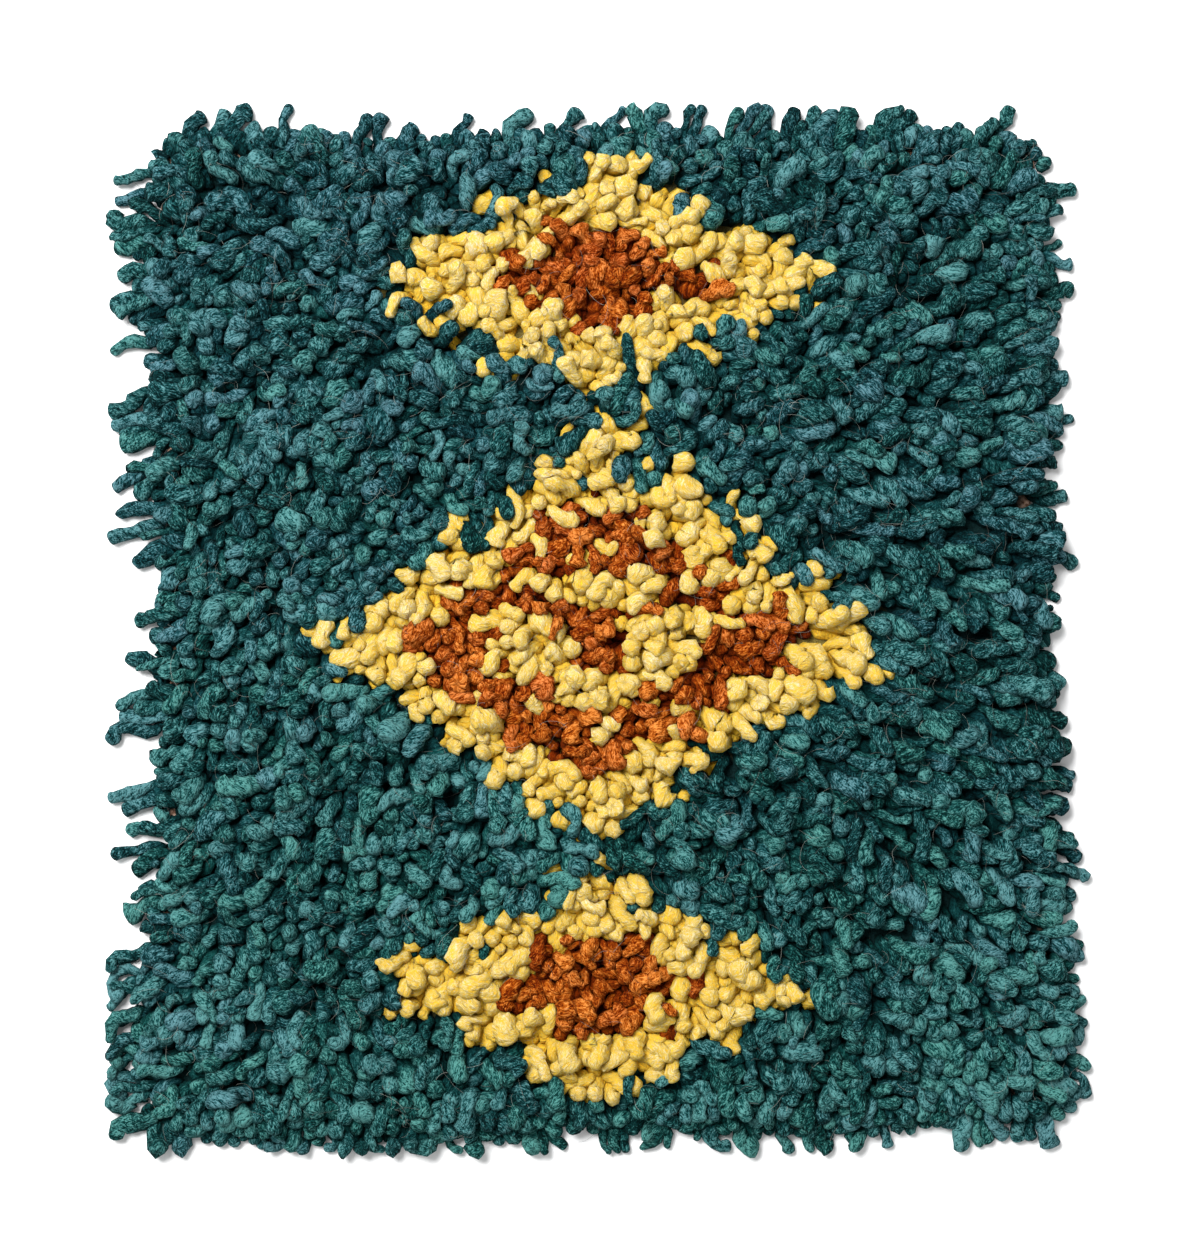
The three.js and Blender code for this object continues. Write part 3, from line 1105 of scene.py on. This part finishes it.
# The teal was dyed in several lots: paler and greener in the lower part, bluer in the upper.
TONES = (
    Patch(0.17, 0.03, 0.09, -0.16),
    Patch(-0.2, -0.2, 0.09, 0.18),
    Patch(0.2, -0.22, 0.08, 0.22),
    Patch(-0.16, 0.2, 0.07, -0.1),
    # This patch lightens the wool at the lower left of the middle lozenge: partly stray yellow fibres,
    # partly painted light bounced from the yellow wool.
    Patch(-0.05, -0.055, 0.06, 0.2),
)
CASTS = (Patch(-0.1, 0.22, 0.12, -0.3), Patch(0.17, 0.05, 0.09, -0.15), Patch(0, -0.22, 0.2, 0.42))


def regional(places, patches):
    """How much shade changes at places, from the patches around them."""
    change = np.zeros(len(places))
    for patch in patches:
        away = np.hypot(places[:, 0] - patch.x, places[:, 1] - patch.y) / patch.reach
        change += patch.change * np.exp(-(away**2))
    return change


def add_pile(name, wool, chosen, material):
    """One piece of pile from the chosen locks, all of one wool."""
    locks = laid_pile()
    rng = np.random.default_rng(sum(map(ord, name)))
    balls, radii = locks.balls[chosen], locks.radii[chosen]
    points, ends, wool_place = lock_surface(balls, radii, WOOLS[wool], rng)
    count = len(points)
    tone = np.clip(rng.beta(*TONE_SPREAD, count) + regional(balls[:, 0], TONES), 0, 1)
    cast = np.clip(rng.beta(*CAST_SPREAD, count) + regional(balls[:, 0], CASTS), 0, 1)
    places = with_ends(wool_place, wool_place[:, -1].mean(axis=1))
    # Painted shade: the depth below the pile's upper side darkens the wool in the pile's hollows.
    depth = np.clip(pile_top().depth(with_ends(points, ends)) / HOLLOW_SHADE_DEPTH, 0, 1)
    points_each = len(places) // count
    attributes = (
        ("wool_place", "FLOAT_VECTOR", places),
        ("depth", "FLOAT", depth),
        ("tone", "FLOAT", np.repeat(tone, points_each)),
        ("cast", "FLOAT", np.repeat(cast, points_each)),
    )
    piece = add_tubes(name, points, ends, material, attributes)
    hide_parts(CAD_NODE)


def knot_band(context, wool):
    """Knots the lozenges' bands of one wool, as one piece of pile."""
    material = wool_material(wool, getattr(context.scene.rug_colours, wool))
    add_pile(f"{wool}_pile", wool, laid_pile().wools == wool, material)
    return {"FINISHED"}


# The ground's edge lies inside the field's by this share of its size.
GROUND_MARGIN = 0.006

# Points of the underside for each knot along a row, and for each row
SAMPLES_A_KNOT = 4
SAMPLES_A_ROW = 6
KNOT_BACK_HEIGHT = 0.9 * MM


def knot_backs(columns, rows):
    """How far each sample of the underside stands out, from 0 to 1: two nubs for each knot."""
    across = (np.arange(columns * SAMPLES_A_KNOT + 1) / SAMPLES_A_KNOT) % 1
    up = (np.arange(rows * SAMPLES_A_ROW + 1) / SAMPLES_A_ROW) % 1
    nubs = np.abs(np.sin(2 * math.pi * across)) ** 0.7
    band = np.clip(1.5 - np.abs(up - 0.5) * 5, 0, 1)
    weft = 0.25 * np.abs(np.cos(3 * math.pi * up))
    return np.maximum(nubs[None] * band[:, None], weft[:, None])


def ground_plan(wide, long):
    """A grid of places over the ground."""
    shares = (np.linspace(GROUND_MARGIN, 1 - GROUND_MARGIN, number) for number in (wide, long))
    across, up = np.meshgrid(*shares)
    return plan_point(across.ravel(), up.ravel())


def grid_cells(numbers):
    """Quads between the numbers of a grid's points, facing up."""
    cells = [numbers[:-1, :-1], numbers[:-1, 1:], numbers[1:, 1:], numbers[1:, :-1]]
    return np.stack(cells, axis=-1).reshape(-1, 4)


def wall_faces(lower, upper):
    """Faces between a fine row of lower points and the coarse row above it."""
    samples = (len(lower) - 1) // (len(upper) - 1)
    first = np.arange(len(upper) - 1)[:, None] * samples
    return np.column_stack([lower[first + np.arange(samples + 1)], upper[1:], upper[:-1]])


def ground_mesh(sizes):
    """Points, faces, map and marks of the woven ground, with its knot backs on the underside."""
    columns = round(FIELD_WIDTH / sizes.knot_pitch)
    rows = round(FIELD_LENGTH / sizes.row_pitch)
    wide, long = columns * SAMPLES_A_KNOT + 1, rows * SAMPLES_A_ROW + 1
    bulge = knot_backs(columns, rows)
    rim = np.ones((long, wide), dtype=bool)
    rim[1:-1, 1:-1] = False
    bulge[rim] = 0
    lower = np.column_stack([ground_plan(wide, long), (KNOT_BACK_HEIGHT * (1 - bulge)).ravel()])
    plan = ground_plan(columns + 1, rows + 1)
    upper = np.column_stack([plan, np.full(len(plan), sizes.ground_thickness)])
    points = np.concatenate([lower, upper])

    below = np.arange(len(lower)).reshape(long, wide)
    above = len(lower) + np.arange(len(upper)).reshape(rows + 1, columns + 1)
    sides = [
        wall_faces(below[0], above[0]),
        wall_faces(below[-1, ::-1], above[-1, ::-1]),
        wall_faces(below[:, -1], above[:, -1]),
        wall_faces(below[::-1, 0], above[::-1, 0]),
    ]
    walls = [np.concatenate(sides[:2]), np.concatenate(sides[2:])]
    faces = (grid_cells(below)[:, ::-1], *walls, grid_cells(above))

    # The underside takes the left half of the map, and the upper side the right half.
    flat = (points[:, :2] - plan.min(axis=0)) / np.ptp(plan, axis=0).max() * 0.46 + 0.02
    flat[len(lower):, 0] += 0.5
    uv = np.concatenate([flat[kind].reshape(-1, 2) for kind in faces])

    # The pile's feet cover the upper side, except along its rim.
    feet = np.zeros((rows + 1, columns + 1))
    feet[1:-1, 1:-1] = 1
    knots = np.concatenate([bulge.ravel(), np.zeros(len(upper))])
    return points, faces, uv, knots, np.concatenate([np.zeros(len(lower)), feet.ravel()])


WARP_PITCH = 2.6 * MM
WEFT_PITCH = 1.8 * MM

# The share of its knots' wool colour that the ground shows under the pile, darkened as painted shade
UNDER_PILE_SHADE = 0.35


def ground_material(colours):
    """Plain weave of undyed yarn, with the wools' colours on the knots' backs."""
    material, tree = new_material("ground_weave")
    place = node(tree, "TexCoord").outputs["Object"]
    turns = scaled(tree, place, (math.pi / WARP_PITCH, math.pi / WEFT_PITCH, 1))
    parts = node(tree, "SeparateXYZ", {0: turns}).outputs
    waves = [calculated(tree, "SINE", parts[axis]) for axis in "XY"]
    weave = mapped(tree, calculated(tree, "MULTIPLY", *waves), -1, 1, 0, 1)
    lint = full_noise(tree, place, 0.8 * MM, 2 * MM, 2)
    level = weighted(tree, ((weave, 0.6), (lint, 0.4)))
    yarn = wool_colours(tree, level, colours.ground, 0.3, 0.1, 1.6)
    lint_level = mapped(tree, lint, 0, 1, 0.5, 1.4)
    lint_shade = node(tree, "CombineXYZ", {axis: lint_level for axis in "XYZ"}).outputs[0]
    knot_shade = scaled(tree, attribute(tree, "knot_colour", "Color"), lint_shade)
    # Painted shade: under the pile the ground shows its knots' wool colour, darkened.
    painted_shade_under_pile = scaled(tree, knot_shade, (UNDER_PILE_SHADE,) * 3)
    yarn = mixed(tree, attribute(tree, "pile_base"), yarn, painted_shade_under_pile)
    share = mapped(tree, attribute(tree, "knot_mark"), 0.25, 0.5, 0, 1)
    inputs = {
        "Base Color": mixed(tree, share, yarn, knot_shade),
        "Roughness": 0.95,
        "Specular IOR Level": 0.08,
        "Normal": raised(tree, level, 0.9, 0.8 * MM),
    }
    add_surface(tree, inputs)
    return material


class RUG_OT_woven_ground(bpy.types.Operator):
    """Weave the ground that the knots are tied into"""

    bl_idname = "rug.woven_ground"
    bl_label = "Woven ground"

    def execute(self, context):
        colours = context.scene.rug_colours
        points, faces, uv, knots, feet = ground_mesh(context.scene.rug_sizes)
        wools = wool_at(points[:, :2])
        shades = np.array([(*getattr(colours, wool), 1) for wool in wools])
        attributes = (
            ("knot_mark", "FLOAT", knots),
            ("pile_base", "FLOAT", feet),
            ("knot_colour", "FLOAT_COLOR", shades),
        )
        ground = add_piece("woven_ground", points, faces, ground_material(colours), uv, attributes)
        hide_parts(CAD_NODE)
        return {"FINISHED"}


class Hairs(NamedTuple):
    """One kind of loose hair: its share of all, and its length and bends in millimetres."""

    share: float
    length: tuple
    bend: tuple


HAIRS = (Hairs(0.58, (7, 17), (4, 14)), Hairs(0.30, (14, 28), (6, 20)), Hairs(0.12, (5, 10), (1.9, 3.2)))
HAIR_RADIUS = 0.06 * MM
HAIR_RINGS = 11
HAIR_SIDES = 3

# How the hairs' tones lie between dark at 0 and pale at 1: mostly near the two ends
HAIR_TONES = (0.6, 0.9)

# Hairs lie a little above the pile. They sink into its lumps by the sag at most, and start and
# end in it by these depths.
HAIR_CLEARANCE = 0.35 * MM
HAIR_SAG = 1 * MM
HAIR_START_DEPTH = 2 * MM
HAIR_END_DEPTH = 1.5 * MM


def hair_paths(kind, count, rng):
    """Winding paths of like hairs on the pile's upper side."""
    start = plan_point(rng.uniform(0.004, 0.996, count), rng.uniform(0.004, 0.996, count))
    step = rng.uniform(*kind.length, (count, 1)) * MM / (HAIR_RINGS - 1)
    bend = step / (rng.uniform(*kind.bend, (count, 1)) * MM) * rng.choice((-1, 1), (count, 1))
    turn = bend * rng.uniform(0.3, 1.5, (count, HAIR_RINGS)) + rng.normal(0, 0.12, (count, HAIR_RINGS))
    heading = rng.uniform(0, 2 * math.pi, (count, 1)) + np.cumsum(turn, axis=1)
    steps = np.stack([np.cos(heading), np.sin(heading)], axis=-1) * step[..., None]
    plan = start[:, None] + np.cumsum(steps, axis=1)
    height = pile_top().height(plan)
    smooth = (height + np.roll(height, 1, axis=1) + np.roll(height, -1, axis=1)) / 3
    smooth[:, 0], smooth[:, -1] = height[:, 0] - HAIR_START_DEPTH, height[:, -1] - HAIR_END_DEPTH
    lift = np.maximum(smooth, height - HAIR_SAG) + HAIR_CLEARANCE
    return np.concatenate([plan, np.maximum(lift, LEAST_HEIGHT)[..., None]], axis=2)


def hair_surface(path, radius):
    """Skins of thin hairs along paths, and their end points."""
    along = np.gradient(path, axis=1)
    along /= np.linalg.norm(along, axis=2, keepdims=True)
    first, second = frames_along(along)
    angle = np.arange(HAIR_SIDES) / HAIR_SIDES * 2 * math.pi
    ring = first[:, :, None] * np.cos(angle)[:, None] + second[:, :, None] * np.sin(angle)[:, None]
    return path[:, :, None] + ring * radius, path[:, -1] + along[:, -1] * radius * 2


def hair_material(colours):
    """Smooth single hairs, from dark to pale."""
    material, tree = new_material("stray_hair")
    base = mixed(tree, attribute(tree, "tone"), (*colours.dark_hair, 1), (*colours.pale_hair, 1))
    add_surface(tree, {"Base Color": base, "Roughness": 0.6, "Specular IOR Level": 0.3})
    return material


class RUG_OT_stray_hairs(bpy.types.Operator):
    """Lay the loose hairs of the fleece over the pile"""

    bl_idname = "rug.stray_hairs"
    bl_label = "Stray hairs"

    def execute(self, context):
        rng = np.random.default_rng(HAIR_SEED)
        total = context.scene.rug_sizes.stray_hairs
        skins, tips = [], []
        for kind in HAIRS:
            path = hair_paths(kind, round(total * kind.share), rng)
            skin, tip = hair_surface(path, HAIR_RADIUS)
            skins.append(skin)
            tips.append(tip)
        skins, tips = np.concatenate(skins), np.concatenate(tips)
        tone = np.repeat(rng.beta(*HAIR_TONES, len(skins)), HAIR_RINGS * HAIR_SIDES + 1)
        material = hair_material(context.scene.rug_colours)
        hairs = add_tubes("stray_hairs", skins, tips, material, (("tone", "FLOAT", tone),))
        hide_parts(CAD_NODE)
        return {"FINISHED"}


class RUG_OT_teal_pile(bpy.types.Operator):
    """Knot the teal field, in four quarters"""

    bl_idname = "rug.teal_pile"
    bl_label = "Teal pile"

    def execute(self, context):
        material = wool_material("teal", context.scene.rug_colours.teal)
        locks = laid_pile()
        middle = locks.balls[:, 0]
        is_teal = locks.wools == "teal"
        right, upper = middle[:, 0] > 0, middle[:, 1] > 0
        quarters = {
            "teal_pile_upper_left": ~right & upper,
            "teal_pile_upper_right": right & upper,
            "teal_pile_lower_left": ~right & ~upper,
            "teal_pile_lower_right": right & ~upper,
        }
        for name, quarter in quarters.items():
            add_pile(name, "teal", is_teal & quarter, material)
        return {"FINISHED"}


class RUG_OT_yellow_pile(bpy.types.Operator):
    """Knot the light bands of the lozenges"""

    bl_idname = "rug.yellow_pile"
    bl_label = "Yellow pile"

    def execute(self, context):
        return knot_band(context, "yellow")


class RUG_OT_rust_pile(bpy.types.Operator):
    """Knot the dark bands of the lozenges"""

    bl_idname = "rug.rust_pile"
    bl_label = "Rust pile"

    def execute(self, context):
        return knot_band(context, "rust")


class RUG_OT_stage(bpy.types.Operator):
    """Set up the floor, the light and the camera"""

    bl_idname = "rug.stage"
    bl_label = "Stage"

    def execute(self, context):
        add_floor()
        add_lights(context.scene)
        add_camera(context.scene)
        context.scene.view_settings.view_transform = "Standard"
        return {"FINISHED"}


FLOOR_HALF = 14
FLOOR_LEVEL = -0.4 * MM


def add_floor():
    """A wide pale floor just under the rug."""
    corners = [
        (across * FLOOR_HALF, up * FLOOR_HALF, FLOOR_LEVEL)
        for across, up in ((-1, -1), (1, -1), (1, 1), (-1, 1))
    ]
    mesh = bpy.data.meshes.new("floor")
    mesh.from_pydata(corners, [], [(0, 1, 2, 3)])
    material, tree = new_material("pale_floor")
    shader = node(tree, "BsdfDiffuse", {"Color": (0.93, 0.93, 0.93, 1), "Roughness": 0.5}).outputs[0]
    node(tree, "OutputMaterial", {"Surface": shader})
    mesh.materials.append(material)
    floor = bpy.data.objects.new("floor", mesh)
    bpy.context.scene.collection.objects.link(floor)


KEY_PLACE = (-0.72, 0.85, 1.85)
KEY_SIZE = 1.2
KEY_WATTS = 88
SKY_STRENGTH = 0.62


def add_lights(scene):
    """A broad soft key from the upper left, and an even sky."""
    data = bpy.data.lights.new("key", "AREA")
    data.shape = "DISK"
    data.size = KEY_SIZE
    data.energy = KEY_WATTS
    key = bpy.data.objects.new("key", data)
    key.location = KEY_PLACE
    key.rotation_mode = "QUATERNION"
    key.rotation_quaternion = (-key.location).to_track_quat("-Z", "Y")
    scene.collection.objects.link(key)
    world = bpy.data.worlds.new("sky")
    world.use_nodes = True
    background = world.node_tree.nodes["Background"]
    background.inputs["Color"].default_value = (1, 1, 1, 1)
    background.inputs["Strength"].default_value = SKY_STRENGTH
    scene.world = world


# The photograph is 1200 by 1240 pixels, at half a millimetre each.
PIXEL = 0.5 * MM
FRAME_HEIGHT_PIXELS = 1240
CAMERA_MIDDLE = (0.7 * MM, 4.4 * MM)
CAMERA_LENS = 90
SENSOR = 36

# The pixels are measured at the height of most of the pile's tops.
PILE_LEVEL = 20 * MM


def add_camera(scene):
    """A long lens straight above, framed as in the photograph."""
    data = bpy.data.cameras.new("camera")
    data.lens = CAMERA_LENS
    data.sensor_width = SENSOR
    away = FRAME_HEIGHT_PIXELS * PIXEL * CAMERA_LENS / SENSOR
    camera = bpy.data.objects.new("camera", data)
    camera.location = (*CAMERA_MIDDLE, away + PILE_LEVEL)
    data.clip_end = 20
    scene.collection.objects.link(camera)
    scene.camera = camera


OPERATORS = (
    RUG_OT_stage,
    RUG_OT_teal_pile,
    RUG_OT_yellow_pile,
    RUG_OT_rust_pile,
    RUG_OT_woven_ground,
    RUG_OT_stray_hairs,
)


class RUG_PT_rug(bpy.types.Panel):
    """The rug's settings and the steps that build it"""

    bl_label = "Shag chair rug"
    bl_space_type = "VIEW_3D"
    bl_region_type = "UI"
    bl_category = "Rug"

    def draw(self, context):
        for settings in (context.scene.rug_sizes, context.scene.rug_colours):
            for name in settings.bl_rna.properties.keys():
                if name not in ("rna_type", "name"):
                    self.layout.prop(settings, name)
        for step in OPERATORS:
            self.layout.operator(step.bl_idname)


CLASSES = (RugSizes, RugColours, *OPERATORS, RUG_PT_rug)


def register():
    """Registers the rug's classes and its settings on the scene."""
    for kind in CLASSES:
        bpy.utils.register_class(kind)
    bpy.types.Scene.rug_sizes = bpy.props.PointerProperty(type=RugSizes)
    bpy.types.Scene.rug_colours = bpy.props.PointerProperty(type=RugColours)


def unregister():
    """Takes the settings and classes away again."""
    del bpy.types.Scene.rug_colours
    del bpy.types.Scene.rug_sizes
    for kind in reversed(CLASSES):
        bpy.utils.unregister_class(kind)


def main():
    """Builds the rug and its stage."""
    register()
    bpy.ops.rug.stage()
    bpy.ops.rug.teal_pile()
    bpy.ops.rug.yellow_pile()
    bpy.ops.rug.rust_pile()
    bpy.ops.rug.woven_ground()
    bpy.ops.rug.stray_hairs()


if __name__ == "__main__":
    main()
